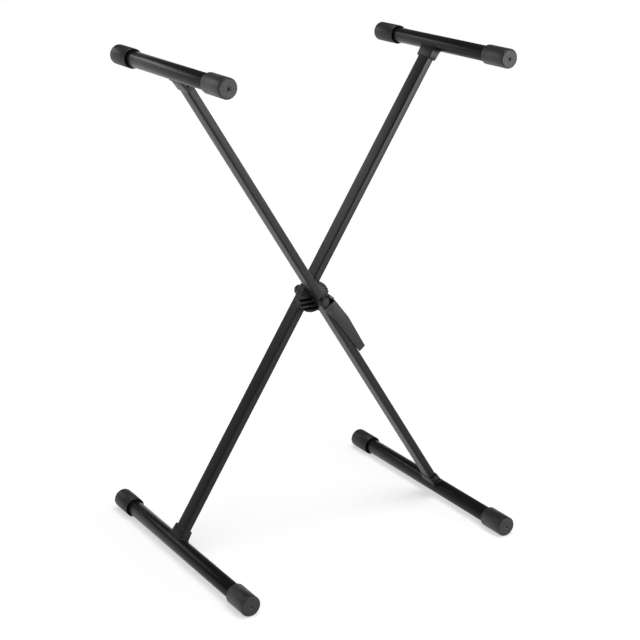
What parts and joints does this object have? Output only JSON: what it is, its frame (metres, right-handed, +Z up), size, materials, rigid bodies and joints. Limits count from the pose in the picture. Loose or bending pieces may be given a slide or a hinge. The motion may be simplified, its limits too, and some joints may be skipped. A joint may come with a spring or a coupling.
{
  "type": "folding keyboard stand",
  "caption": "Folding X-frame stand: crossed tube arms with rubber-capped round bars at their ends, a toothed hub at the crossing and a squeeze lever that frees the fold.",
  "frame": {"origin": "on the floor, under the pivot's axis, half way between the two ends of the foot bars", "axes": "+Z up; +Y along the pivot from the lever's side to the nut's side; +X towards the foot of the arm that carries the lever"},
  "size_m": [0.5968, 0.5, 0.9136],
  "materials": {
    "arm_paint": "semi-gloss black powder coat on rectangular steel tube",
    "bar_paint": "gloss black powder coat on round steel tube",
    "bracket_paint": "semi-gloss black powder coat on welded steel plate",
    "lever_paint": "satin black powder coat on folded sheet steel",
    "cap_rubber": "matt black moulded rubber",
    "moulded_nylon": "fine-grained black moulded nylon",
    "dark_steel": "black oxide steel, slightly worn on its edges",
    "spring_steel": "bare spring and rivet steel",
    "pale_nylon": "natural nylon bush"
  },
  "bodies": {
    "rear_frame": {"rear_arm_tube": "arm_paint", "rear_top_bracket": "bracket_paint", "rear_top_bracket_bolt": "dark_steel", "rear_top_bracket_nut": "dark_steel", "rear_top_bar_tube": "bar_paint", "rear_top_far_cap": "cap_rubber", "rear_top_near_cap": "cap_rubber", "rear_foot_bracket": "bracket_paint", "rear_foot_bracket_bolt": "dark_steel", "rear_foot_bracket_nut": "dark_steel", "rear_foot_bar_tube": "bar_paint", "rear_foot_far_cap": "cap_rubber", "rear_foot_near_cap": "cap_rubber", "ratchet_disc": "dark_steel", "pivot_bolt": "dark_steel", "pivot_front_washer": "dark_steel", "pivot_rear_washer": "dark_steel", "pivot_nut": "dark_steel"},
    "front_frame": {"front_arm_tube": "arm_paint", "front_top_bracket": "bracket_paint", "front_top_bracket_bolt": "dark_steel", "front_top_bracket_nut": "dark_steel", "front_top_bar_tube": "bar_paint", "front_top_far_cap": "cap_rubber", "front_top_near_cap": "cap_rubber", "front_foot_bracket": "bracket_paint", "front_foot_bracket_bolt": "dark_steel", "front_foot_bracket_nut": "dark_steel", "front_foot_bar_tube": "bar_paint", "front_foot_far_cap": "cap_rubber", "front_foot_near_cap": "cap_rubber", "pivot_bush": "pale_nylon", "hub_cover": "moulded_nylon", "lever_pin": "dark_steel", "return_spring": "spring_steel"},
    "trigger": {"trigger_lever": "lever_paint", "pawl": "dark_steel", "pawl_upper_rivet": "spring_steel", "pawl_lower_rivet": "spring_steel"}
  },
  "joints": [
    {"name": "fold", "type": "hinge", "parent": "rear_frame", "child": "front_frame", "pos_m": [0, 0, 0.45756], "axis": [0, 1, 0], "range_deg": [-55, 60]},
    {"name": "trigger_squeeze", "type": "hinge", "parent": "front_frame", "child": "trigger", "pos_m": [0.0129, 0, 0.43732], "axis": [0, 1, 0], "range_deg": [0, 6.5], "stiffness_Nm_per_rad": 2.5, "springref_deg": -6.88, "deforming": ["return_spring"]}
  ]
}
